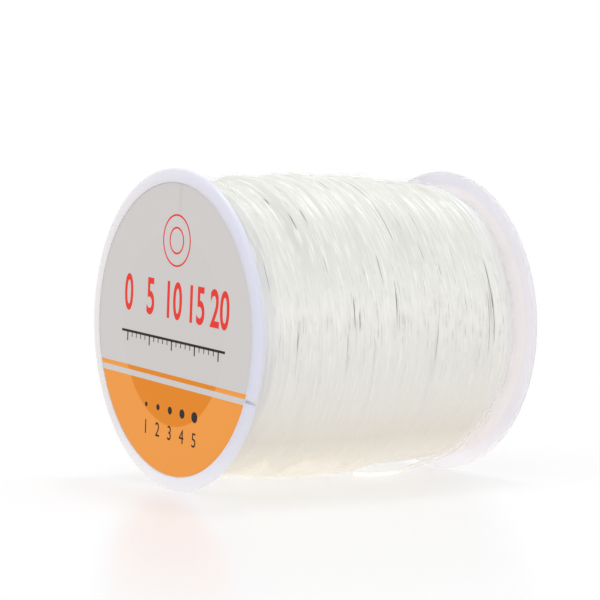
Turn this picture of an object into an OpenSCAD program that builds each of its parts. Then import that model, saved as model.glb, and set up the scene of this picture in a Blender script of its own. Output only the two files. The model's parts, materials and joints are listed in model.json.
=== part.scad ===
// Spool of clear elastic cord, lying on its two rims.
// A thin tube joins two moulded end caps. A paper disc closes the front cap,
// and the cord fills the space between the flanges.
// The spool's axis runs along Y, the front cap faces -Y and Z points up.
// The origin is at the middle of the spool.

/* [Flanges] */
// Diameter of each flange
flange_d = 54; // [50:0.5:70]
// Length over both flanges
spool_len = 57.4; // [50:0.2:80]
// Thickness of a flange
flange_t = 1.1; // [1:0.1:2]
// Width of the ring round the edge of a flange
ring_w = 2.35; // [2:0.05:4]
// Width of the bevel on the outer face, inside the ring
bevel_w = 1.6; // [1:0.1:1.9]
// Depth that the bevel falls away at the rim
bevel_drop = 0.1; // [0.05:0.05:0.5]
// Step from the ring to the web on the inner face
inner_step = 0.15; // [0.05:0.05:0.25]
// Depth of the small flat that each rim stands on
foot_flat = 0.05; // [0.03:0.01:0.2]
// Width of the slit that pinches the cord's end
slit_w = 0.5; // [0.4:0.1:0.8]
// Lean of the slit from the radial line, in degrees
slit_lean = -16; // [-30:1:30]

/* [Hub] */
// Diameter of the hole through the hub
bore_d = 32.4; // [28:0.2:36]
// Wall of the spigot on each end cap
spigot_wall = 0.8; // [0.6:0.1:1.2]
// Length of the spigot inside the tube
spigot_len = 6; // [3:0.5:10]
// Wall of the core tube
tube_wall = 1; // [0.8:0.1:1.6]
// Gap between a spigot and the tube
spigot_gap = 0.05; // [0.02:0.01:0.1]
// Lead-in chamfer at the end of a spigot
spigot_chamfer = 0.3; // [0.1:0.05:0.5]

/* [Paper disc] */
// Depth of the seat that the disc lies in
seat_depth = 0.3; // [0.15:0.05:0.35]
// Thickness of the disc
disc_t = 0.15; // [0.1:0.01:0.2]
// Gap round the edge of the disc
disc_gap = 0.1; // [0.05:0.05:0.3]

/* [Cord] */
// Diameter of the cord
cord_d = 0.8; // [0.6:0.05:1]
// Turns in the outer layer
outer_turns = 24; // [16:1:24]
// Distance that the fullest turns lie inside the rim
crown_gap = 0.6; // [0.5:0.1:3]
// Drop of the winding from its crown to the front flange
shoulder_drop = 2; // [1:0.1:4]
// Sideways wander of each turn
wander = 0.7; // [0:0.1:0.9]
// Gap between the winding and a flange
side_gap = 0.1; // [0.05:0.05:0.3]
// Gap between the outer turns and the layers below
rest_gap = 0.05; // [0.03:0.01:0.1]
// Distance from the spool's middle to the cut end of the cord
cut_end_y = 7.3; // [2:0.1:10]

/* [Tape] */
// Thickness of the clear tape
tape_t = 0.1; // [0.05:0.01:0.15]
// Width of the tape along the spool
tape_w = 30; // [15:0.5:30]
// Angle below level at which the tape starts
tape_start = 52; // [45:1:60]
// Angle that the tape covers
tape_span = 62; // [30:1:80]

/* [Hidden] */
$fn = 96;
eps = 0.01;

flange_r = flange_d / 2;
bore_r = bore_d / 2;
seat_r = flange_r - ring_w;
spigot_r = bore_r + spigot_wall;
tube_r = spigot_r + spigot_gap;
web_t = flange_t - inner_step;
// Half the space between the flanges, and half the length of the core tube
half_gap = spool_len / 2 - flange_t;
half_tube = spool_len / 2 - web_t;

// Slits in the rims: below level on the front cap, and out of line with it on the rear cap
front_slit_angle = 23;
rear_slit_angle = 150;

// Outer turns: rings in each turn, sides of the cord, and the angle where they start and end
turn_rings = 24;
cord_sides = 6;
turns_start = 38;
wander_waves = 1.93;
ring_count = outer_turns * turn_rings;
half_layer = half_gap - side_gap - cord_d / 2 - wander;
pitch = 2 * half_layer / outer_turns;
core_steps = 24;

// Share of the shoulder drop at places from the front flange, -1, to the rear flange, 1
winding_drops = [
    [-1, 1],
    [-0.73, 0.62],
    [-0.6, 0.45],
    [-0.4, 0.2],
    [-0.2, 0.05],
    [-0.05, 0],
    [0.07, 0.08],
    [0.2, 0.27],
    [0.3, 0.4],
    [0.42, 0.53],
    [0.55, 0.6],
    [0.73, 0.66],
    [0.8, 0.78],
    [0.87, 1.1],
    [0.93, 1.53],
    [1, 2.08]
];

// Radius of the outside of the winding, of the outer turns' middle line and of the plain core
function winding_r(y) = flange_r - crown_gap - shoulder_drop * lookup(y / half_gap, winding_drops);
function turn_r(y) = winding_r(y) - cord_d / 2;
function core_r(y) = turn_r(y) * cos(180 / turn_rings) - cord_d / 2 - rest_gap;

// Point at an angle below +X, a place along the axis and a radius
function around(angle, y, r) = [r * cos(angle), y, -r * sin(angle)];
function unit(v) = v / norm(v);

// Outer turns: middle line, with a straight run of one diameter at each end
function turn_y(i) = -half_layer + pitch * i / turn_rings
    + wander * sin(wander_waves * 360 * i / turn_rings);
function turn_point(i) = around(turns_start + 360 * i / turn_rings, turn_y(i), turn_r(turn_y(i)));
turn_line = [for (i = [0 : ring_count]) turn_point(i)];
turn_run_in = turn_line[0] + cord_d * unit(turn_line[0] - turn_line[1]);
turn_run_out = turn_line[ring_count]
    + cord_d * unit(turn_line[ring_count] - turn_line[ring_count - 1]);
outer_line = concat([turn_run_in], turn_line, [turn_run_out]);

// Least distance between neighbouring turns, less one diameter
turn_gaps = [
    for (i = [0 : ring_count])
        for (j = [i + turn_rings / 2 : min(i + 3 * turn_rings / 2, ring_count)])
            norm(turn_line[i] - turn_line[j]) - cord_d
];

// Free end: [angle below +X, place, height over the outer turns in units of one lift]
// The place runs from the last turn, 0, to the cut end, 1. The last stretch bows off the turns.
free_steps = [
    [44, 0, 0],
    [47, 0.005, 0.3],
    [50, 0.03, 0.75],
    [53, 0.075, 1.05],
    [56, 0.128, 1.1],
    [59, 0.174, 1.05],
    [62, 0.219, 1.05],
    [65, 0.27, 1.05],
    [68, 0.336, 1.2],
    [71, 0.417, 1.45],
    [73, 0.513, 1.75],
    [74.2, 0.59, 2.1],
    [76.5, 0.645, 2.5],
    [77.5, 0.711, 2.55],
    [77.9, 0.802, 2.44],
    [79.3, 0.878, 2.2],
    [82.3, 0.944, 1.82],
    [85.3, 1, 1.55]
];
free_sides = 8;
last_turn_y = turn_y(ring_count);
free_lift = cord_d + rest_gap;
function free_y(s) = last_turn_y + (cut_end_y - last_turn_y) * s;
free_line = [
    for (p = free_steps) around(p[0], free_y(p[1]), turn_r(free_y(p[1])) + free_lift * p[2])
];

// Tape: distance from the front flange, and the place of its edges along the axis
tape_inset = 0.6;
tape_from = -half_gap + tape_inset;
tape_to = tape_from + tape_w;
tape_steps = 12;

// Cord along a line of points, cut square at both ends
function along(p, i) = unit(p[min(i + 1, len(p) - 1)] - p[max(i - 1, 0)]);
function out_from_axis(p, t) =
    let (n = [p[0], 0, p[2]])
    unit(n - (n * t) * t);
module cord(line, sides) {
    rings = len(line);
    points = [
        for (i = [0 : rings - 1])
            let (t = along(line, i), n = out_from_axis(line[i], t), b = cross(t, n))
            for (k = [0 : sides - 1])
                let (a = (k + 0.5) * 360 / sides)
                line[i] + cord_d / 2 * (cos(a) * n + sin(a) * b)
    ];
    walls = [
        for (i = [0 : rings - 2])
            for (k = [0 : sides - 1])
                let (a = i * sides + k, b = i * sides + (k + 1) % sides)
                for (f = [[a, a + sides, b + sides], [a, b + sides, b]]) f
    ];
    first_cap = [for (k = [1 : sides - 2]) [0, k, k + 1]];
    last_ring = (rings - 1) * sides;
    last_cap = [for (k = [1 : sides - 2]) [last_ring, last_ring + k + 1, last_ring + k]];
    polyhedron(points, concat(walls, first_cap, last_cap));
}

// Turns a shape built along +Z so that +Z points along +Y
module along_axis() {
    rotate([-90, 0, 0]) children();
}

// End cap, built with its outer face at z = 0, its spigot towards +Z and its foot towards +Y
module end_cap(slit_angle) {
    edge_r = (flange_t - bevel_drop) / 2;
    spigot_end = flange_t + spigot_len;
    difference() {
        rotate_extrude() {
            polygon([
                [seat_r, 0],
                [flange_r - bevel_w, 0],
                [flange_r - edge_r, bevel_drop],
                [flange_r - edge_r, flange_t],
                [seat_r, flange_t],
                [seat_r, web_t],
                [spigot_r, web_t],
                [spigot_r, spigot_end - spigot_chamfer],
                [spigot_r - spigot_chamfer, spigot_end],
                [bore_r, spigot_end],
                [bore_r, seat_depth],
                [seat_r, seat_depth]
            ]);
            translate([flange_r - edge_r, flange_t - edge_r]) circle(r = edge_r, $fn = 24);
        }
        rotate([0, 0, slit_angle])
            translate([flange_r, 0, flange_t / 2])
            rotate([0, 0, slit_lean])
            cube([2 * ring_w, slit_w, flange_t + 2 * eps], center = true);
        translate([-flange_r, flange_r - foot_flat, -eps])
            cube([flange_d, ring_w, flange_t + 2 * eps]);
    }
}

module core_tube() {
    color("whitesmoke")
        translate([0, -half_tube, 0])
        along_axis()
        difference() {
            cylinder(h = 2 * half_tube, r = tube_r + tube_wall);
            translate([0, 0, -eps]) cylinder(h = 2 * half_tube + 2 * eps, r = tube_r);
        }
}

module front_end_cap() {
    color("ghostwhite")
        translate([0, -spool_len / 2, 0])
        along_axis()
        end_cap(front_slit_angle);
}

module rear_end_cap() {
    color("ghostwhite")
        translate([0, spool_len / 2, 0])
        mirror([0, 1, 0])
        along_axis()
        end_cap(rear_slit_angle);
}

module front_paper_disc() {
    color([0.80, 0.80, 0.79])
        translate([0, seat_depth - disc_t - spool_len / 2, 0])
        along_axis()
        cylinder(h = disc_t, r = seat_r - disc_gap);
}

// The layers below the outer one, as a plain solid round the tube
module cord_inner_layers() {
    tube_outside = tube_r + tube_wall;
    half_core = half_gap - side_gap;
    profile = [
        for (k = [0 : core_steps])
            let (y = half_core * (2 * k / core_steps - 1))
            [core_r(y), y]
    ];
    color([0.90, 0.91, 0.90])
        along_axis()
        rotate_extrude()
        polygon(concat([[tube_outside, half_core], [tube_outside, -half_core]], profile));
}

module cord_outer_turns() {
    echo(least_gap_between_turns = min(turn_gaps));
    color([0.95, 0.96, 0.95]) cord(outer_line, cord_sides);
}

module cord_free_end() {
    color([0.97, 0.98, 0.97]) cord(free_line, free_sides);
}

module clear_tape() {
    inside = [
        for (k = [0 : tape_steps])
            let (y = tape_from + tape_w * k / tape_steps)
            [winding_r(y) + rest_gap, y]
    ];
    outside = [for (k = [tape_steps : -1 : 0]) inside[k] + [tape_t, 0]];
    color([0.93, 0.92, 0.88])
        along_axis()
        rotate([0, 0, tape_start])
        rotate_extrude(angle = tape_span)
        polygon(concat(inside, outside));
}

core_tube();
front_end_cap();
rear_end_cap();
front_paper_disc();
cord_inner_layers();
cord_outer_turns();
cord_free_end();
clear_tape();
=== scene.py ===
"""Spool of clear elastic cord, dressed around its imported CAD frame. Units are metres."""
import json
import math

import bpy
import numpy as np
from mathutils import Matrix, Vector


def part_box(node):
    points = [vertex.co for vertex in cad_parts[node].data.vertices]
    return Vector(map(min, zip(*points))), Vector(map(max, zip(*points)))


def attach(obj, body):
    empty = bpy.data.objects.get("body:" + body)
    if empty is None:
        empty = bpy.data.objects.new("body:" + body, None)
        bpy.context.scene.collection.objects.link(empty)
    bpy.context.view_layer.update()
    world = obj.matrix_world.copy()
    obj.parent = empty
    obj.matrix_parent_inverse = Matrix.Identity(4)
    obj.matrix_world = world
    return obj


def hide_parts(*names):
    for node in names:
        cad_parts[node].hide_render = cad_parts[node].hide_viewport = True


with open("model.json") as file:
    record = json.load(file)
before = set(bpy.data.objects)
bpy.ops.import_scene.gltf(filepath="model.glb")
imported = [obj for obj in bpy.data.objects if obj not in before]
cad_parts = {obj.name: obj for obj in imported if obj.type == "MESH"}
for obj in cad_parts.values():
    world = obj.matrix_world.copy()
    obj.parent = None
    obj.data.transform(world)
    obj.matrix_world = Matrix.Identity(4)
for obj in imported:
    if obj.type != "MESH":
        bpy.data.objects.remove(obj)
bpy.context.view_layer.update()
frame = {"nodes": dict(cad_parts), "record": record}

MM = 0.001

# Sizes shared with the frame
disc_low, disc_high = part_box("front_paper_disc")
tape_low, tape_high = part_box("clear_tape")
FLANGE_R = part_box("front_end_cap")[1][0]
DISC_R = disc_high[0]
DISC_FACE = disc_low[1]
HUB_R = frame["record"]["mounts"][0]["dims"]["r_mm"] * MM
TUBE_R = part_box("core_tube")[1][0]
CORD_D = 0.8 * MM
SIDE_GAP = 0.1 * MM
HALF_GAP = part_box("cord_inner_layers")[1][1] + SIDE_GAP

# Camera, fitted to both rims of the spool
CAMERA_PLACE = Vector((0.2991, -0.2087, 0.0199))
CAMERA_TURN = math.radians(55.43)
CAMERA_DIP = math.radians(2.45)
CAMERA_LENS = 125.45

# Winding: points in each turn, the cells that keep the height of what is wound so far, and where it starts,
# as an angle below +X
TURN_POINTS = 96
CELL = 0.1 * MM
CORD_SIDES = 8
WINDING_SEED = 11
WINDING_START = math.radians(38)

# Outline of the winding: drop below its crown at places from the front flange, -1, to the rear flange, 1
CROWN_R = FLANGE_R - 0.6 * MM
SHOULDER_DROP = 2.0 * MM
DROP_PLACES = (-1, -0.73, -0.6, -0.4, -0.2, -0.05, 0.07, 0.2, 0.3, 0.42, 0.55, 0.73, 0.8, 0.87, 0.93, 1)
DROP_SHARES = (1, 0.62, 0.45, 0.2, 0.05, 0, 0.08, 0.27, 0.4, 0.53, 0.6, 0.66, 0.78, 1.1, 1.53, 2.08)
# Places along the axis between which the winding changes to its slope at the rear flange, whose colour is painted
# light
SLOPE_TOP, SLOPE_FOOT = 21 * MM, 25.5 * MM

# Angles below +X between which the film lies, and those it shows from at places along the axis in millimetres
TAPE_START, TAPE_END = math.radians(52), math.radians(114)
FILM_EDGE = ((-26.4, 66), (-23.5, 65), (-21.9, 61.5), (-19.3, 53.5), (-16.0, 62.5), (-14.6, 66), (-13.8, 69.5),
    (-13.3, 60), (-12.6, 52), (-7.5, 53), (-2.9, 57.5), (-1.4, 60.5), (-0.8, 54), (3.6, 58))


def winding_outline(y):
    return CROWN_R - SHOULDER_DROP * np.interp(y / HALF_GAP, DROP_PLACES, DROP_SHARES)


# ---------------------------------------------------------------- camera, lights and floor

def make_camera():
    data = bpy.data.cameras.new("camera")
    data.lens = CAMERA_LENS
    data.sensor_width = 36
    data.clip_start = 0.01
    camera = bpy.data.objects.new("camera", data)
    camera.location = CAMERA_PLACE
    camera.rotation_euler = (math.pi / 2 - CAMERA_DIP, 0, CAMERA_TURN)
    bpy.context.collection.objects.link(camera)
    bpy.context.scene.camera = camera


def area_light(name, place, aim, size, power, tint=(1, 1, 1)):
    data = bpy.data.lights.new(name, "AREA")
    data.shape = "RECTANGLE"
    data.size, data.size_y = size
    data.energy = power
    data.color = tint
    light = bpy.data.objects.new(name, data)
    light.location = place
    light.rotation_euler = (Vector(aim) - Vector(place)).to_track_quat("-Z", "Y").to_euler()
    bpy.context.collection.objects.link(light)


def light_studio():
    centre = (0, 0, 0)
    area_light("overhead_light", (0.05, 0.0, 0.50), centre, (0.50, 0.35), 0.4)
    area_light("glint_light", (-0.05, 0.09, 0.44), centre, (0.10, 0.06), 0.3)
    area_light("low_fill_light", (0.40, -0.16, -0.01), (0, 0, -0.01), (0.50, 0.10), 0.2, (1.0, 0.90, 0.76))
    area_light("label_side_light", (-0.10, -0.50, 0.20), centre, (0.40, 0.30), 0.25)
    world = bpy.data.worlds.new("studio")
    world.use_nodes = True
    nodes, links = world.node_tree.nodes, world.node_tree.links
    nodes.clear()
    seen = nodes.new("ShaderNodeBackground")
    seen.inputs["Color"].default_value = (1, 1, 1, 1)
    seen.inputs["Strength"].default_value = 1.0
    fill = nodes.new("ShaderNodeBackground")
    fill.inputs["Color"].default_value = (0.97, 0.98, 1.0, 1)
    fill.inputs["Strength"].default_value = 0.84
    rays = seeing_rays(nodes, links)
    mix = nodes.new("ShaderNodeMixShader")
    out = nodes.new("ShaderNodeOutputWorld")
    links.new(rays, mix.inputs[0])
    links.new(fill.outputs[0], mix.inputs[1])
    links.new(seen.outputs[0], mix.inputs[2])
    links.new(mix.outputs[0], out.inputs[0])
    bpy.context.scene.world = world


def seeing_rays(nodes, links, kinds=("Is Camera Ray", "Is Glossy Ray", "Is Transmission Ray")):
    """1 where the camera, a reflection or a clear piece sees the backdrop."""
    path = nodes.new("ShaderNodeLightPath")
    total = None
    for ray in kinds:
        if total is None:
            total = path.outputs[ray]
            continue
        most = nodes.new("ShaderNodeMath")
        most.operation = "MAXIMUM"
        links.new(total, most.inputs[0])
        links.new(path.outputs[ray], most.inputs[1])
        total = most.outputs[0]
    return total


def make_floor():
    side = 6.0
    mesh = bpy.data.meshes.new("floor")
    z = -FLANGE_R
    corners = [(-side, -side, z), (side, -side, z), (side, side, z), (-side, side, z)]
    mesh.from_pydata(corners, [], [(0, 1, 2, 3)])
    floor = bpy.data.objects.new("floor", mesh)
    bpy.context.collection.objects.link(floor)
    material = bpy.data.materials.new("studio_floor")
    material.use_nodes = True
    nodes, links = material.node_tree.nodes, material.node_tree.links
    nodes.clear()
    board = nodes.new("ShaderNodeBsdfPrincipled")
    board.inputs["Base Color"].default_value = (0.93, 0.93, 0.93, 1)
    board.inputs["Roughness"].default_value = 0.22
    white_glow = nodes.new("ShaderNodeEmission")
    white_glow.inputs["Strength"].default_value = 1.0
    warm_glow = nodes.new("ShaderNodeEmission")
    warm_glow.inputs["Color"].default_value = (1.0, 0.945, 0.86, 1)
    warm_glow.inputs["Strength"].default_value = 0.92
    # Seen directly the board goes from half lit by the lamps to plain white away from the spool
    away = nodes.new("ShaderNodeVectorMath")
    away.operation = "LENGTH"
    links.new(object_coordinates(nodes), away.inputs[0])
    far = nodes.new("ShaderNodeMapRange")
    far.interpolation_type = "SMOOTHSTEP"
    far.inputs["From Min"].default_value = 0.06
    far.inputs["From Max"].default_value = 0.22
    links.new(away.outputs["Value"], far.inputs["Value"])
    least = 0.42
    near_share = calc(nodes, links, "ADD", calc(nodes, links, "MULTIPLY", far.outputs[0], 1 - least), least)
    seen_board = nodes.new("ShaderNodeMixShader")
    links.new(near_share, seen_board.inputs[0])
    links.new(board.outputs[0], seen_board.inputs[1])
    links.new(white_glow.outputs[0], seen_board.inputs[2])
    # For the light it throws back it is an evenly lit table, as bright as a white card
    mix = nodes.new("ShaderNodeMixShader")
    links.new(seeing_rays(nodes, links, ("Is Camera Ray", "Is Glossy Ray")), mix.inputs[0])
    links.new(warm_glow.outputs[0], mix.inputs[1])
    links.new(seen_board.outputs[0], mix.inputs[2])
    out = nodes.new("ShaderNodeOutputMaterial")
    links.new(mix.outputs[0], out.inputs[0])
    mesh.materials.append(material)


# ---------------------------------------------------------------- materials

# Streaks drawn out along the turns: number per metre, changes round a turn, and where their noise starts
STREAK_NUMBERS = ("Streaks per metre", "Round a turn", "Start")
STRETCHES = (1250.0, 9.0, 1.3)
# Settings for the painted glints and for the painted shade in gaps
PAINTED_GLINTS = (3200.0, 4.5, 0.0)
GAP_SHADE_NOISE = (3000.0, 1.7, 3.7)


def new_material(name):
    material = bpy.data.materials.new(name)
    material.use_nodes = True
    tree = material.node_tree
    shader = tree.nodes["Principled BSDF"]
    return material, tree.nodes, tree.links, shader


def object_coordinates(nodes):
    return nodes.new("ShaderNodeTexCoord").outputs["Object"]


def calc(nodes, links, operation, a, b=0.0):
    node = nodes.new("ShaderNodeMath")
    node.operation = operation
    for socket, value in zip(node.inputs, (a, b)):
        if isinstance(value, (int, float)):
            socket.default_value = value
        else:
            links.new(value, socket)
    return node.outputs[0]


def blend_colour(nodes, links, mask, first, second):
    node = nodes.new("ShaderNodeMix")
    node.data_type = "RGBA"
    links.new(mask, node.inputs[0])
    for socket, value in zip((node.inputs[6], node.inputs[7]), (first, second)):
        if isinstance(value, tuple):
            socket.default_value = (*value, 1)
        else:
            links.new(value, socket)
    return node.outputs[2]


def grain_group():
    """Fine unevenness that several finishes share: a mask from 0 to 1 and a bumped normal."""
    tree = bpy.data.node_groups.new("fine_grain", "ShaderNodeTree")
    face = tree.interface
    face.new_socket("Place", in_out="INPUT", socket_type="NodeSocketVector")
    face.new_socket("Grains per metre", in_out="INPUT", socket_type="NodeSocketFloat")
    face.new_socket("Detail", in_out="INPUT", socket_type="NodeSocketFloat")
    face.new_socket("Height", in_out="INPUT", socket_type="NodeSocketFloat")
    face.new_socket("Mask", in_out="OUTPUT", socket_type="NodeSocketFloat")
    face.new_socket("Normal", in_out="OUTPUT", socket_type="NodeSocketVector")
    nodes, links = tree.nodes, tree.links
    given = nodes.new("NodeGroupInput")
    out = nodes.new("NodeGroupOutput")
    noise = nodes.new("ShaderNodeTexNoise")
    bump = nodes.new("ShaderNodeBump")
    bump.inputs["Strength"].default_value = 1.0
    links.new(given.outputs["Place"], noise.inputs["Vector"])
    links.new(given.outputs["Grains per metre"], noise.inputs["Scale"])
    links.new(given.outputs["Detail"], noise.inputs["Detail"])
    links.new(given.outputs["Height"], bump.inputs["Distance"])
    links.new(noise.outputs["Fac"], bump.inputs["Height"])
    links.new(noise.outputs["Fac"], out.inputs["Mask"])
    links.new(bump.outputs["Normal"], out.inputs["Normal"])
    return tree


def add_grain(nodes, links, per_metre, detail, height):
    node = nodes.new("ShaderNodeGroup")
    node.node_tree = GRAIN
    links.new(object_coordinates(nodes), node.inputs["Place"])
    node.inputs["Grains per metre"].default_value = per_metre
    node.inputs["Detail"].default_value = detail
    node.inputs["Height"].default_value = height
    return node.outputs["Mask"], node.outputs["Normal"]


def moulded_plastic(name, left, right, web, cover, depth, painted_light):
    """White plastic that lets light through. Its ring goes from one tone on the left to another on the right, and
    its web has a tone of its own: painted light and shade for how each side is lit. The ring's foot glows with
    painted light, standing in for light from the table.
    """
    material, nodes, links, shader = new_material(name)
    mask, normal = add_grain(nodes, links, 180.0, 3.0, 0.00002)
    # Painted light and shade: the ring's tone changes from left to right, as each side is lit
    drift = along_axis(nodes, links, "X", -FLANGE_R, FLANGE_R)
    ring = blend_colour(nodes, links, drift, left, right)
    soft_edge = 0.4 * MM
    outwards = nodes.new("ShaderNodeMapRange")
    links.new(from_axis(nodes, links), outwards.inputs["Value"])
    outwards.inputs["From Min"].default_value = DISC_R - soft_edge
    outwards.inputs["From Max"].default_value = DISC_R + soft_edge
    # The web inside the ring gets its own tone, also painted light and shade
    white = blend_colour(nodes, links, outwards.outputs[0], web, ring)
    colour = blend_colour(nodes, links, calc(nodes, links, "MULTIPLY", mask, 0.12), white, (0.90, 0.90, 0.94))
    links.new(colour, shader.inputs["Base Color"])
    links.new(normal, shader.inputs["Normal"])
    shader.inputs["Roughness"].default_value = 0.32
    shader.inputs["Subsurface Weight"].default_value = depth
    shader.inputs["Subsurface Radius"].default_value = (0.004, 0.004, 0.0045)
    shader.inputs["Subsurface Scale"].default_value = 1.0
    shader.inputs["Alpha"].default_value = cover
    # Painted glow: the ring's foot emits light, standing in for light from the table below
    low = along_axis(nodes, links, "Z", -16 * MM, -25 * MM)
    foot = calc(nodes, links, "MULTIPLY", low, outwards.outputs[0])
    painted_glow = blend_colour(nodes, links, foot, (0.0, 0.0, 0.0), (1.0, 1.0, 0.92))
    links.new(painted_glow, shader.inputs["Emission Color"])
    shader.inputs["Emission Strength"].default_value = painted_light
    return material


def along_axis(nodes, links, axis, start, end, place=None):
    """Mask that goes from 0 at start to 1 at end along one axis of the object."""
    split = nodes.new("ShaderNodeSeparateXYZ")
    links.new(place or object_coordinates(nodes), split.inputs[0])
    node = nodes.new("ShaderNodeMapRange")
    links.new(split.outputs[axis], node.inputs["Value"])
    node.inputs["From Min"].default_value = start
    node.inputs["From Max"].default_value = end
    return node.outputs[0]


def from_axis(nodes, links, place=None):
    """Distance from the spool's axis."""
    split = nodes.new("ShaderNodeSeparateXYZ")
    links.new(place or object_coordinates(nodes), split.inputs[0])
    x, z = split.outputs["X"], split.outputs["Z"]
    return calc(nodes, links, "SQRT", calc(nodes, links, "ADD",
        calc(nodes, links, "MULTIPLY", x, x), calc(nodes, links, "MULTIPLY", z, z)))


def clear_cord(least, most):
    """Clear, slightly milky elastic with a glossy skin and painted shade in a few narrow gaps between turns. It
    shows in short stretches, from least to most cover.
    """
    material, nodes, links, shader = new_material("clear_cord")
    mask, normal = add_grain(nodes, links, 500.0, 2.0, 0.00004)
    clear = blend_colour(nodes, links, mask, (0.985, 0.985, 0.975), (1.0, 1.0, 0.995))
    # Painted shade: a few narrow gaps between turns are dark grey
    colour = blend_colour(nodes, links, dark_gaps(nodes, links), clear, (0.30, 0.31, 0.33))
    links.new(colour, shader.inputs["Base Color"])
    links.new(normal, shader.inputs["Normal"])
    shader.inputs["Roughness"].default_value = 0.12
    shader.inputs["IOR"].default_value = 1.3
    shader.inputs["Transmission Weight"].default_value = 0.9
    stretches = nodes.new("ShaderNodeMapRange")
    links.new(turn_streaks(nodes, links, STRETCHES), stretches.inputs["Value"])
    stretches.inputs["From Min"].default_value = 0.47
    stretches.inputs["From Max"].default_value = 0.62
    # Most of them show halfway up: fewer near the top and hardly any on the lower half
    rise = calc(nodes, links, "MAXIMUM", along_axis(nodes, links, "Z", -9 * MM, 1 * MM), 0.0)
    fall = calc(nodes, links, "MAXIMUM", along_axis(nodes, links, "Z", 15 * MM, 3 * MM), 0.12)
    off_ends = group_mask(nodes, links, OFF_ENDS)
    spread = calc(nodes, links, "MULTIPLY", calc(nodes, links, "MULTIPLY", rise, fall), off_ends)
    shown = calc(nodes, links, "MULTIPLY", stretches.outputs[0], spread)
    # Turns on the lower half melt into each other
    single = calc(nodes, links, "MAXIMUM", along_axis(nodes, links, "Z", -16 * MM, -6 * MM), 0.35)
    cover = calc(nodes, links, "ADD", calc(nodes, links, "MULTIPLY", shown, most - least),
        calc(nodes, links, "MULTIPLY", single, least))
    links.new(cover, shader.inputs["Alpha"])
    shader.inputs["Coat Weight"].default_value = 0.6
    shader.inputs["Coat Roughness"].default_value = 0.08
    return material


def loose_cord():
    """The cord where it hangs free: its cut end glows with painted light, and it clears towards the turns."""
    material, nodes, links, shader = new_material("milky_cord_end")
    mask, normal = add_grain(nodes, links, 500.0, 2.0, 0.00004)
    colour = blend_colour(nodes, links, mask, (0.985, 0.985, 0.98), (1.0, 1.0, 1.0))
    links.new(colour, shader.inputs["Base Color"])
    links.new(normal, shader.inputs["Normal"])
    shader.inputs["Roughness"].default_value = 0.2
    shader.inputs["Coat Weight"].default_value = 0.6
    shader.inputs["Coat Roughness"].default_value = 0.08
    inwards = along_axis(nodes, links, "Y", 12 * MM, 17 * MM)
    # Painted glow on the cut end, fading out towards the turns
    painted_glow = blend_colour(nodes, links, inwards, (1.0, 1.0, 1.0), (0.0, 0.0, 0.0))
    links.new(painted_glow, shader.inputs["Emission Color"])
    shader.inputs["Emission Strength"].default_value = 0.2
    cleared = calc(nodes, links, "MULTIPLY", inwards, 0.6)
    links.new(calc(nodes, links, "SUBTRACT", 1.0, cleared), shader.inputs["Alpha"])
    return material


def milky_depth():
    """The body of the winding seen through the clear turns, with the streaks of the turns further down. Its tone
    by height is painted light and shade, with painted glints on the upper part, painted light on the slope at the
    rear flange and painted shade in a few narrow gaps.
    """
    material, nodes, links, shader = new_material("milky_depth")
    # Painted light and shade by height: lighter at the underside and halfway up, darker below the middle and near
    # the top
    painted_tones_by_height = ((-25, (0.96, 0.94, 0.90)), (-22, (0.89, 0.865, 0.82)), (-18, (0.775, 0.75, 0.715)),
        (-13, (0.79, 0.80, 0.785)), (-5, (0.815, 0.83, 0.835)), (4, (0.88, 0.895, 0.88)),
        (16, (0.725, 0.74, 0.70)), (25, (0.755, 0.75, 0.69)))
    lowest, highest = painted_tones_by_height[0][0], painted_tones_by_height[-1][0]
    ramp = nodes.new("ShaderNodeValToRGB")
    links.new(along_axis(nodes, links, "Z", lowest * MM, highest * MM), ramp.inputs["Fac"])
    stops = ramp.color_ramp.elements
    for height, _ in painted_tones_by_height[1:-1]:
        stops.new((height - lowest) / (highest - lowest))
    for stop, (_, tone) in zip(stops, painted_tones_by_height):
        stop.color = (*tone, 1)
    # Painted glints: lighter streaks along the turns on the upper part
    painted_glints = nodes.new("ShaderNodeMapRange")
    links.new(turn_streaks(nodes, links, PAINTED_GLINTS), painted_glints.inputs["Value"])
    painted_glints.inputs["From Min"].default_value = 0.53
    painted_glints.inputs["From Max"].default_value = 0.7
    upper = along_axis(nodes, links, "Z", -20 * MM, 6 * MM)
    share = calc(nodes, links, "MULTIPLY", calc(nodes, links, "MULTIPLY", painted_glints.outputs[0], 0.7), upper)
    painted_light = blend_colour(nodes, links, share, ramp.outputs[0], (1.0, 1.0, 0.98))
    # Painted light where the winding slopes down to the rear flange: lighter low down, darker higher up, against
    # the shade in the groove there
    slope = blend_colour(nodes, links, along_axis(nodes, links, "Z", 1 * MM, 12 * MM),
        (0.91, 0.93, 0.93), (0.78, 0.795, 0.795))
    painted_slope_light = blend_colour(nodes, links, along_axis(nodes, links, "Y", SLOPE_FOOT, SLOPE_TOP), slope, painted_light)
    # Painted shade in a few narrow gaps between turns
    colour = blend_colour(nodes, links, dark_gaps(nodes, links), painted_slope_light, (0.20, 0.21, 0.23))
    links.new(colour, shader.inputs["Base Color"])
    shader.inputs["Roughness"].default_value = 0.35
    return material


def mask_group(name, settings=()):
    """Empty shader node group from a place and some numbers to a mask: its tree, input node and output node."""
    tree = bpy.data.node_groups.new(name, "ShaderNodeTree")
    face = tree.interface
    face.new_socket("Place", in_out="INPUT", socket_type="NodeSocketVector")
    for setting in settings:
        face.new_socket(setting, in_out="INPUT", socket_type="NodeSocketFloat")
    face.new_socket("Mask", in_out="OUTPUT", socket_type="NodeSocketFloat")
    return tree, tree.nodes.new("NodeGroupInput"), tree.nodes.new("NodeGroupOutput")


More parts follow.
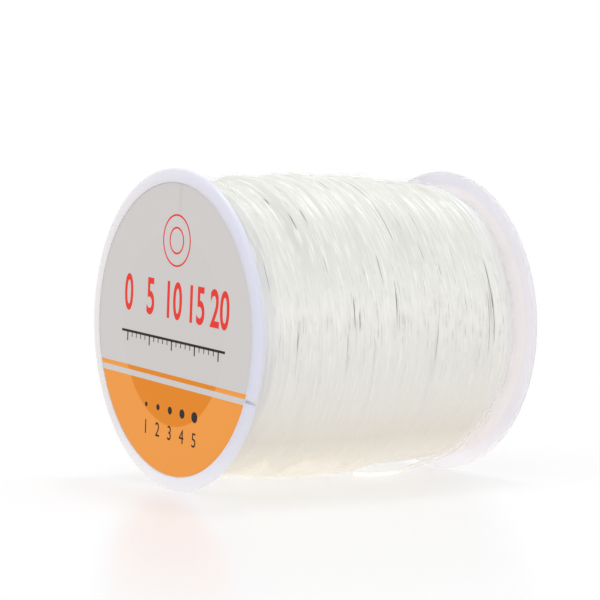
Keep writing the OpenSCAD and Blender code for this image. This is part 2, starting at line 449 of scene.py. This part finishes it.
def group_mask(nodes, links, tree, place=None, values=()):
    """Mask of a group at the object's own coordinates, or at a place that is given."""
    node = nodes.new("ShaderNodeGroup")
    node.node_tree = tree
    links.new(place or object_coordinates(nodes), node.inputs["Place"])
    for name, value in values:
        node.inputs[name].default_value = value
    return node.outputs["Mask"]


def off_ends_group():
    """Mask of the winding but for its turns next to the flanges, which slope down to the rear one."""
    tree, given, out = mask_group("off_ends")
    nodes, links = tree.nodes, tree.links
    place = given.outputs["Place"]
    front = along_axis(nodes, links, "Y", -26.5 * MM, -23.5 * MM, place)
    rear = along_axis(nodes, links, "Y", SLOPE_FOOT, SLOPE_TOP, place)
    links.new(calc(nodes, links, "MULTIPLY", front, rear), out.inputs["Mask"])
    return tree


def dark_gaps_group():
    """Mask of the painted shade in a few narrow gaps between turns: most of them halfway up the winding."""
    tree, given, out = mask_group("dark_gaps", ("Halfway gain", "Least", "Full"))
    nodes, links = tree.nodes, tree.links
    place = given.outputs["Place"]
    halfway = calc(nodes, links, "MULTIPLY",
        along_axis(nodes, links, "Z", -6 * MM, -1 * MM, place),
        along_axis(nodes, links, "Z", 11 * MM, 4 * MM, place))
    noise = calc(nodes, links, "ADD", turn_streaks(nodes, links, GAP_SHADE_NOISE, place),
        calc(nodes, links, "MULTIPLY", halfway, given.outputs["Halfway gain"]))
    upper = calc(nodes, links, "MULTIPLY",
        along_axis(nodes, links, "Z", -7 * MM, 1 * MM, place), group_mask(nodes, links, OFF_ENDS, place))
    sharp = nodes.new("ShaderNodeMapRange")
    links.new(noise, sharp.inputs["Value"])
    links.new(given.outputs["Least"], sharp.inputs["From Min"])
    links.new(given.outputs["Full"], sharp.inputs["From Max"])
    links.new(calc(nodes, links, "MULTIPLY", sharp.outputs[0], upper), out.inputs["Mask"])
    return tree


def dark_gaps(nodes, links):
    # Where shade is painted into a few narrow gaps between turns
    values = (("Halfway gain", 0.03), ("Least", 0.695), ("Full", 0.72))
    return group_mask(nodes, links, PAINTED_GAP_SHADE, values=values)


def streak_group():
    """Noise drawn out along the turns: fine along the spool's axis, slow round it."""
    tree, given, out = mask_group("turn_streaks", STREAK_NUMBERS)
    nodes, links = tree.nodes, tree.links
    split = nodes.new("ShaderNodeSeparateXYZ")
    links.new(given.outputs["Place"], split.inputs[0])
    x, y, z = split.outputs
    round_turn = given.outputs["Round a turn"]
    radius = from_axis(nodes, links, given.outputs["Place"])
    along = calc(nodes, links, "MULTIPLY", y, given.outputs["Streaks per metre"])
    join = nodes.new("ShaderNodeCombineXYZ")
    for coordinate, socket in ((x, join.inputs[0]), (z, join.inputs[2])):
        share = calc(nodes, links, "DIVIDE", coordinate, radius)
        links.new(calc(nodes, links, "MULTIPLY", share, round_turn), socket)
    links.new(calc(nodes, links, "ADD", along, given.outputs["Start"]), join.inputs[1])
    noise = nodes.new("ShaderNodeTexNoise")
    noise.inputs["Scale"].default_value = 1.0
    noise.inputs["Detail"].default_value = 2.0
    links.new(join.outputs[0], noise.inputs["Vector"])
    links.new(noise.outputs["Fac"], out.inputs["Mask"])
    return tree


def turn_streaks(nodes, links, numbers, place=None):
    return group_mask(nodes, links, STREAKS, place, zip(STREAK_NUMBERS, numbers))


def clear_film():
    """Thin clear film with a soft shine."""
    material, nodes, links, shader = new_material("clear_film")
    mask, normal = add_grain(nodes, links, 250.0, 2.0, 0.00003)
    colour = blend_colour(nodes, links, mask, (0.97, 0.95, 0.91), (1.0, 0.985, 0.95))
    links.new(colour, shader.inputs["Base Color"])
    links.new(normal, shader.inputs["Normal"])
    shader.inputs["Roughness"].default_value = 0.25
    # Painted glow: an even emission stands in for light from the table
    shader.inputs["Emission Color"].default_value = (1.0, 0.97, 0.93, 1)
    shader.inputs["Emission Strength"].default_value = 0.12
    inwards = along_axis(nodes, links, "Y", tape_high[1], tape_high[1] - 5 * MM)
    drop = calc(nodes, links, "DIVIDE", along_axis(nodes, links, "Z", 0, -FLANGE_R), from_axis(nodes, links))
    sine = calc(nodes, links, "MULTIPLY", drop, FLANGE_R)
    # It clings to the turns, and shows from a wavy line with two creases in it
    first, last = FILM_EDGE[0][0], FILM_EDGE[-1][0]
    edge = nodes.new("ShaderNodeValToRGB")
    links.new(along_axis(nodes, links, "Y", first * MM, last * MM), edge.inputs["Fac"])
    stops = edge.color_ramp.elements
    for place, _ in FILM_EDGE[1:-1]:
        stops.new((place - first) / (last - first))
    for stop, (_, angle) in zip(stops, FILM_EDGE):
        height = math.sin(math.radians(angle))
        stop.color = (height, height, height, 1)
    downwards = nodes.new("ShaderNodeMapRange")
    links.new(sine, downwards.inputs["Value"])
    links.new(edge.outputs["Color"], downwards.inputs["From Min"])
    links.new(calc(nodes, links, "ADD", edge.outputs["Color"], 0.07), downwards.inputs["From Max"])
    cover = calc(nodes, links, "MULTIPLY", calc(nodes, links, "MULTIPLY", inwards, downwards.outputs[0]), 0.25)
    links.new(cover, shader.inputs["Alpha"])
    return material


def printed_paper():
    """Coated paper: grey ground, an orange foot with a stripe above it, and painted shade over the hollow hub and
    along a faint crease.
    """
    material, nodes, links, shader = new_material("printed_paper")
    split = nodes.new("ShaderNodeSeparateXYZ")
    links.new(object_coordinates(nodes), split.inputs[0])
    across, up = split.outputs["X"], split.outputs["Z"]
    # Height above the middle, along the print's own upright
    height = calc(nodes, links, "ADD",
        calc(nodes, links, "MULTIPLY", across, math.sin(PRINT_LEAN)),
        calc(nodes, links, "MULTIPLY", up, math.cos(PRINT_LEAN)))
    over_hub = calc(nodes, links, "LESS_THAN", from_axis(nodes, links), HUB_R)
    foot = calc(nodes, links, "LESS_THAN", height, FOOT_TOP)
    stripe = calc(nodes, links, "MULTIPLY",
        calc(nodes, links, "GREATER_THAN", height, STRIPE_LOW),
        calc(nodes, links, "LESS_THAN", height, STRIPE_HIGH))
    orange_area = calc(nodes, links, "MAXIMUM", foot, stripe)
    mask, normal = add_grain(nodes, links, 1500.0, 4.0, 0.000006)
    # Painted shade: grey and orange are darker over the hollow hub, where no plastic behind the paper throws
    # light back
    grey = blend_colour(nodes, links, over_hub, (0.637, 0.627, 0.64), (0.627, 0.617, 0.629))
    orange = blend_colour(nodes, links, over_hub, (0.89, 0.335, 0.055), (0.785, 0.24, 0.003))
    print_colour = blend_colour(nodes, links, orange_area, grey, orange)
    fade = calc(nodes, links, "MULTIPLY", mask, 0.015)
    faded = blend_colour(nodes, links, fade, print_colour, (1.0, 1.0, 1.0))
    # Painted shade of a faint crease at the top, over the print: a darker line in the colour only
    level = calc(nodes, links, "SUBTRACT", calc(nodes, links, "MULTIPLY", across, math.cos(PRINT_LEAN)),
        calc(nodes, links, "MULTIPLY", up, math.sin(PRINT_LEAN)))
    off_crease = nodes.new("ShaderNodeMapRange")
    off_crease.interpolation_type = "SMOOTHSTEP"
    links.new(calc(nodes, links, "ABSOLUTE", calc(nodes, links, "SUBTRACT", level, CREASE_ACROSS)),
        off_crease.inputs["Value"])
    off_crease.inputs["From Min"].default_value = 0.0
    off_crease.inputs["From Max"].default_value = 0.9 * MM
    over_print = calc(nodes, links, "GREATER_THAN", height, CREASE_LOW)
    near_crease = calc(nodes, links, "SUBTRACT", 1.0, off_crease.outputs[0])
    crease_shade = calc(nodes, links, "MULTIPLY", near_crease, over_print)
    crease_shaded = blend_colour(nodes, links, calc(nodes, links, "MULTIPLY", crease_shade, 0.09), faded, (0.2, 0.2, 0.2))
    # The back, seen down the core from the rear, is plain
    printed = calc(nodes, links, "LESS_THAN", split.outputs["Y"], (disc_low[1] + disc_high[1]) / 2)
    links.new(blend_colour(nodes, links, printed, (0.86, 0.855, 0.84), crease_shaded), shader.inputs["Base Color"])
    links.new(normal, shader.inputs["Normal"])
    shader.inputs["Roughness"].default_value = 0.38
    shader.inputs["Specular IOR Level"].default_value = 0.1
    return material


def print_ink(name, light, dark):
    """Ink with slightly uneven cover."""
    material, nodes, links, shader = new_material(name)
    mask, normal = add_grain(nodes, links, 2500.0, 3.0, 0.000004)
    links.new(blend_colour(nodes, links, mask, dark, light), shader.inputs["Base Color"])
    links.new(normal, shader.inputs["Normal"])
    shader.inputs["Roughness"].default_value = 0.4
    shader.inputs["Specular IOR Level"].default_value = 0.1
    return material


# ---------------------------------------------------------------- helpers for pieces

def add_piece(name, mesh, material):
    piece = bpy.data.objects.new(name, mesh)
    bpy.context.collection.objects.link(piece)
    if material is not None:
        mesh.materials.clear()
        mesh.materials.append(material)
    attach(piece, "root")
    return piece


def bake(source, name):
    """The evaluated object as a plain mesh; the source object goes."""
    depsgraph = bpy.context.evaluated_depsgraph_get()
    mesh = bpy.data.meshes.new_from_object(source.evaluated_get(depsgraph))
    mesh.name = name
    bpy.data.objects.remove(source)
    return mesh


def dress_node(node, material):
    mesh = frame["nodes"][node].data
    mesh.materials.clear()
    mesh.materials.append(material)


def path_mesh(name, points):
    mesh = bpy.data.meshes.new(name)
    mesh.from_pydata([tuple(p) for p in points], [(i, i + 1) for i in range(len(points) - 1)], [])
    return mesh


# ---------------------------------------------------------------- cord

def cord_tree():
    """Geometry Nodes: a round cord along a path, with closed ends."""
    tree = bpy.data.node_groups.new("cord_on_path", "GeometryNodeTree")
    face = tree.interface
    face.new_socket("Path", in_out="INPUT", socket_type="NodeSocketGeometry")
    face.new_socket("Diameter", in_out="INPUT", socket_type="NodeSocketFloat")
    face.new_socket("Sides", in_out="INPUT", socket_type="NodeSocketInt")
    face.new_socket("Finish", in_out="INPUT", socket_type="NodeSocketMaterial")
    face.new_socket("Cord", in_out="OUTPUT", socket_type="NodeSocketGeometry")
    nodes, links = tree.nodes, tree.links
    given = nodes.new("NodeGroupInput")
    out = nodes.new("NodeGroupOutput")
    curve = nodes.new("GeometryNodeMeshToCurve")
    circle = nodes.new("GeometryNodeCurvePrimitiveCircle")
    half = nodes.new("ShaderNodeMath")
    half.operation = "MULTIPLY"
    half.inputs[1].default_value = 0.5
    sweep = nodes.new("GeometryNodeCurveToMesh")
    sweep.inputs["Fill Caps"].default_value = True
    smooth = nodes.new("GeometryNodeSetShadeSmooth")
    real = nodes.new("GeometryNodeRealizeInstances")
    finish = nodes.new("GeometryNodeSetMaterial")
    links.new(given.outputs["Path"], curve.inputs["Mesh"])
    links.new(given.outputs["Diameter"], half.inputs[0])
    links.new(half.outputs[0], circle.inputs["Radius"])
    links.new(given.outputs["Sides"], circle.inputs["Resolution"])
    links.new(curve.outputs["Curve"], sweep.inputs["Curve"])
    links.new(circle.outputs["Curve"], sweep.inputs["Profile Curve"])
    links.new(sweep.outputs["Mesh"], smooth.inputs["Geometry"])
    links.new(smooth.outputs["Geometry"], real.inputs["Geometry"])
    links.new(real.outputs["Geometry"], finish.inputs["Geometry"])
    links.new(given.outputs["Finish"], finish.inputs["Material"])
    links.new(finish.outputs["Geometry"], out.inputs["Cord"])
    return tree


def cord_piece(name, points, finish, sides=CORD_SIDES):
    source = bpy.data.objects.new(name + "_path", path_mesh(name + "_path", points))
    bpy.context.collection.objects.link(source)
    modifier = source.modifiers.new("cord", "NODES")
    modifier.node_group = CORD_TREE
    values = {"Diameter": CORD_D, "Sides": sides, "Finish": finish}
    for item in CORD_TREE.interface.items_tree:
        if item.in_out == "INPUT" and item.name in values:
            modifier[item.identifier] = values[item.name]
    return add_piece(name, bake(source, name), None)


def wander_along(rng, turns):
    """Slow sideways drift of the cord as it is wound: a sum of waves of unrelated lengths."""
    slowest, fastest, waves = 0.45, 4.0, 7
    drift = np.zeros_like(turns)
    for k in range(waves):
        per_turn = slowest * (fastest / slowest) ** (k / (waves - 1)) * rng.uniform(0.9, 1.1)
        drift += np.sin(2 * math.pi * (per_turn * turns + rng.uniform())) / math.sqrt(per_turn / slowest)
    return drift / math.sqrt(waves / 2)


def winding_path(rng, runs, wander):
    """Place along the axis for each point of the cord as the guide goes to and fro, and each run's first."""
    places, starts = [], []
    count = 0
    for start, end, pitch in runs:
        points = int(abs(end - start) / pitch * TURN_POINTS)
        places.append(start + (end - start) * np.arange(points) / points)
        starts.append(count)
        count += points
    places = np.concatenate(places)
    drift = wander * wander_along(rng, np.arange(len(places)) / TURN_POINTS)
    limit = HALF_GAP - CORD_D / 2
    return np.clip(places + drift, -limit, limit), starts


def lay_cord(places, base_radius, squash=0.8):
    """Lays each turn on those below it, taut like a stretched string, and lets it settle into hollows."""
    touch = CORD_D / 2 * squash
    cells = int(round(2 * HALF_GAP / CELL)) + 1
    top = np.tile(base_radius(np.arange(cells) * CELL - HALF_GAP), (TURN_POINTS, 1))
    reach = int(round(touch / CELL))
    offsets = np.arange(-reach, reach + 1)
    lift = np.sqrt(np.maximum(touch ** 2 - (offsets * CELL) ** 2, 0))
    straight = math.cos(2 * math.pi / TURN_POINTS)
    furthest = 4
    shifts = np.arange(-furthest, furthest + 1) * CELL
    # What a sideways step costs, over how many points it is smoothed, and how taut the cord is pulled
    step_cost, blur, pulls = 250, 13, 24
    spare = 12
    limit = HALF_GAP - CORD_D / 2
    count = len(places)
    radius = np.zeros(count)
    settled = places.copy()
    last_shift = 0.0
    for first in range(0, count, TURN_POINTS):
        window = np.arange(first, min(count, first + TURN_POINTS + spare))
        kept = min(TURN_POINTS, count - first)
        rows = window % TURN_POINTS

        def needed(y):
            columns = np.rint((y + HALF_GAP) / CELL).astype(int)
            under = top[rows[:, None], np.clip(columns[:, None] + offsets, 0, cells - 1)]
            return (under + lift).max(1)

        cost = np.stack([needed(places[window] + s) + step_cost * s * s for s in shifts])
        pick = shifts[cost.argmin(0)]
        padded = np.concatenate([np.full(blur // 2, last_shift), pick, np.full(blur // 2, pick[-1])])
        shift = np.convolve(padded, np.ones(blur) / blur, "valid")
        y = np.clip(places[window] + shift, -limit, limit)
        last_shift = shift[kept - 1]
        least = needed(y)
        r = least.copy()
        before = radius[first - 1] if first else r[0]
        for _ in range(pulls):
            left = np.concatenate([[before], r[:-1]])
            right = np.concatenate([r[1:], [r[-1]]])
            r = np.maximum(least, 2 * straight * left * right / (left + right))
        radius[first:first + kept] = r[:kept]
        settled[first:first + kept] = y[:kept]
        columns = np.rint((y[:kept] + HALF_GAP) / CELL).astype(int)
        spots = np.clip(columns[:, None] + offsets, 0, cells - 1)
        rows = rows[:kept, None]
        top[rows, spots] = np.maximum(top[rows, spots], r[:kept, None] + lift)
    return settled, radius, top


def around_axis(angle, y, radius):
    """Point at an angle below +X, a place along the axis and a radius."""
    return np.stack([radius * np.cos(angle), y, -radius * np.sin(angle)], axis=-1)


def top_by_angle(top):
    """The height field with its first row at +X: the winding starts part of a turn further on."""
    return np.roll(top, int(round(WINDING_START / (2 * math.pi) * TURN_POINTS)), axis=0)


def wind_spool():
    rng = np.random.default_rng(WINDING_SEED)
    end = 26.9 * MM
    last_left, last_right = -17 * MM, 7 * MM
    runs = [
        (-end, end, 0.84 * MM),
        (end, -end, 0.86 * MM),
        (-end, end, 0.88 * MM),
        (end, last_left, 0.9 * MM),
        (last_left, last_right, 0.95 * MM),
    ]
    # Height of three full layers, of the fourth and of the short last one, and how softly they start
    full, fourth, fifth = 1.75 * MM, 1.1 * MM, 0.6 * MM
    slope = 1.5 * MM
    sunk = 0.15 * MM

    def base_radius(y):
        in_fourth = np.clip((y - last_left) / slope + 0.5, 0, 1)
        past_fifth = np.clip((y - last_right) / slope + 0.5, 0, 1)
        return winding_outline(y) - sunk - full - fourth * in_fourth + fifth * past_fifth

    places, starts = winding_path(rng, runs, 0.4 * MM)
    y, radius, top = lay_cord(places, base_radius)
    # Where turns cross high up they are pressed down, so that none stands past the flanges' rims
    knee, highest = 26.1 * MM, FLANGE_R - CORD_D / 2 - 0.05 * MM
    spare = highest - knee
    radius = np.minimum(radius, knee) + spare * np.tanh(np.maximum(radius - knee, 0) / spare)
    angle = WINDING_START + 2 * math.pi * np.arange(len(y)) / TURN_POINTS
    points = around_axis(angle, y, radius)
    make_cord_bed(top_by_angle(top))
    # The first runs are out of sight under the milky body
    out_of_sight = 2
    pieces = []
    for k in range(out_of_sight, len(runs)):
        last = starts[k + 1] + 1 if k + 1 < len(runs) else len(points)
        pieces.append(cord_piece("cord_layer_%d" % k, points[starts[k]:last], CORD_FINISH))
    for piece in pieces:
        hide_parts("cord_outer_turns")


def make_cord_bed(top):
    """The milky body just under the turns that show: the outline of what is wound, drawn in a little."""
    sink = 0.11 * MM
    row_step = 2
    turn = 2 * math.pi * np.arange(TURN_POINTS) / TURN_POINTS
    # On the lower half the hollows between the turns are nearly closed
    least_down, most_down = 0.3, 0.7
    closed = np.clip((np.sin(turn) - least_down) / (most_down - least_down), 0, 1)[:, None]
    fine = soften(soften(top, 9, 0), 15, 1)
    calm = soften(soften(top, 17, 0), 41, 1)
    soft = (1 - closed) * fine + closed * calm - sink
    rows = np.arange(0, soft.shape[1], row_step)
    edge = HALF_GAP - SIDE_GAP
    tube = TUBE_R + 0.02 * MM
    verts, faces = [], []
    for s in range(TURN_POINTS):
        ring = [(tube, -edge)]
        ring += [(soft[s, c], min(max(c * CELL - HALF_GAP, -edge), edge)) for c in rows]
        ring += [(tube, edge)]
        verts += [(r * math.cos(turn[s]), y, -r * math.sin(turn[s])) for r, y in ring]
    count = len(rows) + 2
    for s in range(TURN_POINTS):
        t = (s + 1) % TURN_POINTS
        for k in range(count):
            m = (k + 1) % count
            faces.append((s * count + k, s * count + m, t * count + m, t * count + k))
    mesh = bpy.data.meshes.new("cord_bed")
    mesh.from_pydata(verts, [], faces)
    mesh.polygons.foreach_set("use_smooth", [True] * len(mesh.polygons))
    piece = add_piece("cord_bed", mesh, milky_depth())
    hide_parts("cord_inner_layers")


def soften(field, width, axis):
    """Moving average of the height field: round the turn it wraps, along the spool it stops at the ends."""
    half = width // 2
    pads = [(0, 0), (0, 0)]
    pads[axis] = (half, half)
    padded = np.pad(field, pads, mode="wrap" if axis == 0 else "edge")
    length = field.shape[axis]
    return sum(np.take(padded, range(k, k + length), axis) for k in range(width)) / width


def make_free_end():
    """The last stretch of the cord: it lies over the turns, then bows off them at the underside."""
    # Angle below +X, place along the axis and radius, in degrees and millimetres
    steps = [
        (44, 26.9, 22.3), (47, 26.8, 22.55), (50, 26.3, 23.0), (53, 25.5, 23.55), (56, 24.5, 24.15),
        (59, 23.6, 24.6), (62, 22.7, 24.95), (65, 21.7, 25.25), (68, 20.4, 25.55), (71, 18.8, 25.85),
        (73, 16.9, 26.2), (74.2, 15.4, 26.55), (76.5, 14.3, 26.9), (77.5, 13.0, 27.0),
        (77.9, 11.2, 27.05), (79.3, 9.7, 26.95), (82.3, 8.4, 26.75), (85.3, 7.3, 26.6),
    ]
    angle = np.radians([s[0] for s in steps])
    y = np.array([s[1] for s in steps]) * MM
    r = np.array([s[2] for s in steps]) * MM
    knots = around_axis(angle, y, r)
    fine = 8
    t = np.linspace(0, len(knots) - 1, (len(knots) - 1) * fine + 1)
    smooth = np.stack([catmull(knots[:, k], t) for k in range(3)], axis=-1)
    piece = cord_piece("cord_loose_end", smooth, loose_cord(), sides=12)
    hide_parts("cord_free_end")


def catmull(values, t):
    """Smooth curve through values, at places t."""
    padded = np.concatenate([[2 * values[0] - values[1]], values, [2 * values[-1] - values[-2]]])
    i = np.minimum(t.astype(int), len(values) - 2)
    u = t - i
    a, b, c, d = (padded[i + k] for k in range(4))
    return 0.5 * (2 * b + (c - a) * u + (2 * a - 5 * b + 4 * c - d) * u ** 2 + (3 * b - a - 3 * c + d) * u ** 3)


# ---------------------------------------------------------------- label print

# The print leans a little, as the disc was stuck on
PRINT_LEAN = math.radians(4)
INK_T = 0.02 * MM
FOOT_TOP = -9.4 * MM
STRIPE_LOW = -8.4 * MM
STRIPE_HIGH = -7.6 * MM
CREASE_ACROSS = 1.4 * MM
CREASE_LOW = 19.9 * MM
# Height of a digit as a share of the font's size
DIGIT_SHARE = 0.69


def onto_disc(mesh):
    """Turns a flat mesh in its own XY plane onto the face of the paper disc, with the print's lean."""
    turn = Matrix.Rotation(math.pi / 2, 4, "X")
    lean = Matrix.Rotation(PRINT_LEAN, 4, "Y")
    mesh.transform(Matrix.Translation((0, DISC_FACE, 0)) @ lean @ turn)


def number_print(name, text, centre, height, narrow, bold, material):
    """A plain number as ink on the disc."""
    data = bpy.data.curves.new(name + "_text", "FONT")
    data.body = text
    data.align_x = "CENTER"
    data.size = height / DIGIT_SHARE
    data.offset = bold
    data.extrude = INK_T / 2
    source = bpy.data.objects.new(name + "_text", data)
    bpy.context.collection.objects.link(source)
    mesh = bake(source, name)
    mesh.transform(Matrix.Translation((centre[0], centre[1], INK_T / 2)) @ Matrix.Diagonal((narrow, 1, 1, 1)))
    onto_disc(mesh)
    return add_piece(name, mesh, material)


def flat_ring(name, centre, outer, inner, material, steps=64):
    verts, faces = [], []
    for z in (0, INK_T):
        for r in (inner, outer):
            for s in range(steps):
                a = 2 * math.pi * s / steps
                verts.append((centre[0] + r * math.cos(a), centre[1] + r * math.sin(a), z))
    for s in range(steps):
        t = (s + 1) % steps
        faces.append((2 * steps + s, 3 * steps + s, 3 * steps + t, 2 * steps + t))
        faces.append((s, t, steps + t, steps + s))
        faces.append((steps + s, steps + t, 3 * steps + t, 3 * steps + s))
        faces.append((s, 2 * steps + s, 2 * steps + t, t))
    mesh = bpy.data.meshes.new(name)
    mesh.from_pydata(verts, [], faces)
    onto_disc(mesh)
    return add_piece(name, mesh, material)


def row_tree(name, shape):
    """Geometry Nodes: a row of printed ticks, or of round dots that grow along the row."""
    tree = bpy.data.node_groups.new(name, "GeometryNodeTree")
    face = tree.interface
    face.new_socket("Base", in_out="INPUT", socket_type="NodeSocketGeometry")
    face.new_socket("Count", in_out="INPUT", socket_type="NodeSocketInt")
    for label in ("Spacing", "Width", "Length", "Growth", "Thickness"):
        face.new_socket(label, in_out="INPUT", socket_type="NodeSocketFloat")
    face.new_socket("Finish", in_out="INPUT", socket_type="NodeSocketMaterial")
    face.new_socket("Row", in_out="OUTPUT", socket_type="NodeSocketGeometry")
    nodes, links = tree.nodes, tree.links
    given = nodes.new("NodeGroupInput")
    out = nodes.new("NodeGroupOutput")
    line = nodes.new("GeometryNodeMeshLine")
    step = nodes.new("ShaderNodeCombineXYZ")
    links.new(given.outputs["Spacing"], step.inputs["X"])
    links.new(given.outputs["Count"], line.inputs["Count"])
    links.new(step.outputs[0], line.inputs["Offset"])
    if shape == "tick":
        size = nodes.new("ShaderNodeCombineXYZ")
        links.new(given.outputs["Width"], size.inputs["X"])
        links.new(given.outputs["Length"], size.inputs["Y"])
        links.new(given.outputs["Thickness"], size.inputs["Z"])
        mark = nodes.new("GeometryNodeMeshCube")
        links.new(size.outputs[0], mark.inputs["Size"])
    else:
        mark = nodes.new("GeometryNodeMeshCylinder")
        mark.inputs["Vertices"].default_value = 32
        links.new(calc(nodes, links, "MULTIPLY", given.outputs["Width"], 0.5), mark.inputs["Radius"])
        links.new(given.outputs["Thickness"], mark.inputs["Depth"])
    index = nodes.new("GeometryNodeInputIndex")
    growth = calc(nodes, links, "MULTIPLY", index.outputs[0], given.outputs["Growth"])
    grown = calc(nodes, links, "ADD", growth, 1.0)
    scale = nodes.new("ShaderNodeCombineXYZ")
    links.new(grown, scale.inputs["X"])
    links.new(grown, scale.inputs["Y"])
    scale.inputs["Z"].default_value = 1.0
    place = nodes.new("GeometryNodeInstanceOnPoints")
    real = nodes.new("GeometryNodeRealizeInstances")
    finish = nodes.new("GeometryNodeSetMaterial")
    links.new(line.outputs["Mesh"], place.inputs["Points"])
    links.new(mark.outputs["Mesh"], place.inputs["Instance"])
    links.new(scale.outputs[0], place.inputs["Scale"])
    links.new(place.outputs["Instances"], real.inputs["Geometry"])
    links.new(real.outputs["Geometry"], finish.inputs["Geometry"])
    links.new(given.outputs["Finish"], finish.inputs["Material"])
    links.new(finish.outputs["Geometry"], out.inputs["Row"])
    return tree


def printed_row(name, tree, start, count, spacing, width, length, material, growth=0.0):
    """Marks from the middle of the first one, along the print's own level."""
    source = bpy.data.objects.new(name + "_row", path_mesh(name + "_row", [(0, 0, 0), (MM, 0, 0)]))
    bpy.context.collection.objects.link(source)
    modifier = source.modifiers.new("row", "NODES")
    modifier.node_group = tree
    values = {
        "Count": count, "Spacing": spacing, "Width": width, "Length": length,
        "Growth": growth, "Thickness": INK_T, "Finish": material,
    }
    for item in tree.interface.items_tree:
        if item.in_out == "INPUT" and item.name in values:
            modifier[item.identifier] = values[item.name]
    mesh = bake(source, name)
    mesh.transform(Matrix.Translation((start[0], start[1], INK_T / 2)))
    onto_disc(mesh)
    return add_piece(name, mesh, None)


def make_print():
    """A made-up print: two rings, a scale of fives over a black rule, and growing dots on the foot."""
    red = print_ink("red_ink", (0.83, 0.045, 0.03), (0.78, 0.035, 0.02))
    black = print_ink("black_ink", (0.02, 0.02, 0.02), (0.01, 0.01, 0.01))
    ticks = row_tree("tick_row", "tick")
    dots = row_tree("dot_row", "dot")
    ring_centre = (0.6 * MM, 15.0 * MM)
    flat_ring("print_ring", ring_centre, 4.4 * MM, 4.1 * MM, red)
    flat_ring("print_ring_middle", ring_centre, 2.3 * MM, 2.0 * MM, red)
    # Scale of fives: a red number over every fifth tick of the black rule
    left, pitch, numbers = -14.6 * MM, 7.3 * MM, 5
    for k in range(numbers):
        value = 5 * k
        centre = (left + k * pitch, 2.0 * MM)
        number_print("scale_number_%d" % value, str(value), centre, 6.0 * MM, 0.68, 0.14 * MM, red)
    rule_half = 16.6 * MM
    printed_row("print_rule", ticks, (0, -1.8 * MM), 1, MM, 2 * rule_half, 0.42 * MM, black)
    printed_row("long_ticks", ticks, (left, -2.7 * MM), numbers, pitch, 0.3 * MM, 1.6 * MM, black)
    printed_row("short_ticks", ticks, (left, -2.3 * MM), 5 * numbers - 4, pitch / 5, 0.2 * MM, 0.9 * MM, black)
    # Foot: dots of growing size over small numbers
    dot_left, dot_pitch = -7.6 * MM, 3.9 * MM
    printed_row("growing_dots", dots, (dot_left, -13.6 * MM), 5, dot_pitch, 0.8 * MM, MM, black, growth=0.32)
    for k in range(5):
        centre = (dot_left + k * dot_pitch, -18.6 * MM)
        number_print("dot_number_%d" % (k + 1), str(k + 1), centre, 2.4 * MM, 0.9, 0, black)


# ---------------------------------------------------------------- tape

def make_tape():
    """Clear film laid over the turns, with soft creases."""
    gap, ripple_height, t = 0.12 * MM, 0.12 * MM, 0.06 * MM
    across, along = 60, 60
    # Radius in millimetres that turns an angle into a length for the waves
    wave_r = 26
    y0, y1 = tape_low[1], tape_high[1]
    a0, a1 = TAPE_START, TAPE_END
    rng = np.random.default_rng(5)
    # Each wave's rates along the axis and round it, its start and its height
    waves = [
        (rng.uniform(0.2, 1.2), rng.uniform(-1, 1), rng.uniform(0, 6.3), rng.uniform(0.3, 1))
        for _ in range(9)
    ]
    verts, faces = [], []
    for side in (0, 1):
        for i in range(along + 1):
            for j in range(across + 1):
                y = y0 + (y1 - y0) * i / along
                a = a0 + (a1 - a0) * j / across
                r = winding_outline(y) + gap + side * t
                ripple = sum(h * math.sin(fy * y / MM + fa * a * wave_r + p) for fy, fa, p, h in waves)
                r += ripple_height * ripple / len(waves)
                verts.append((r * math.cos(a), y, -r * math.sin(a)))
    n = across + 1
    sheet = (along + 1) * n
    for i in range(along):
        for j in range(across):
            k = i * n + j
            faces.append((k, k + 1, k + n + 1, k + n))
            faces.append((sheet + k, sheet + k + n, sheet + k + n + 1, sheet + k + 1))
    edge = [(0, j) for j in range(across)] + [(i, across) for i in range(along)]
    edge += [(along, across - j) for j in range(across)] + [(along - i, 0) for i in range(along)]
    loop = [i * n + j for i, j in edge]
    for k, v in enumerate(loop):
        w = loop[(k + 1) % len(loop)]
        faces.append((v, sheet + v, sheet + w, w))
    mesh = bpy.data.meshes.new("tape_film")
    mesh.from_pydata(verts, [], faces)
    mesh.polygons.foreach_set("use_smooth", [True] * len(mesh.polygons))
    piece = add_piece("tape_film", mesh, clear_film())
    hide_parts("clear_tape")


# ---------------------------------------------------------------- build

make_camera()
light_studio()
make_floor()
GRAIN = grain_group()
STREAKS = streak_group()
OFF_ENDS = off_ends_group()
PAINTED_GAP_SHADE = dark_gaps_group()
CORD_TREE = cord_tree()
CORD_FINISH = clear_cord(0.03, 0.45)
# Ring tones left and right and the web tone are painted light and shade; the last number sets the painted glow at
# the ring's foot
dress_node("front_end_cap", moulded_plastic("moulded_plastic_front", (0.80, 0.78, 0.81), (0.635, 0.66, 0.86),
    (0.80, 0.78, 0.82), 1.0, 0.4, 0.10))
rear_plastic = moulded_plastic("moulded_plastic", (0.56, 0.51, 0.59), (0.755, 0.735, 0.89), (0.90, 0.80, 0.83),
    0.42, 1.0, 0.22)
for node in ("core_tube", "rear_end_cap"):
    dress_node(node, rear_plastic)
dress_node("front_paper_disc", printed_paper())
make_print()
wind_spool()
make_free_end()
make_tape()

bpy.context.scene.view_settings.view_transform = "Standard"
# A grazing look along the winding passes through many clear turns
bpy.context.scene.cycles.transparent_max_bounces = 64
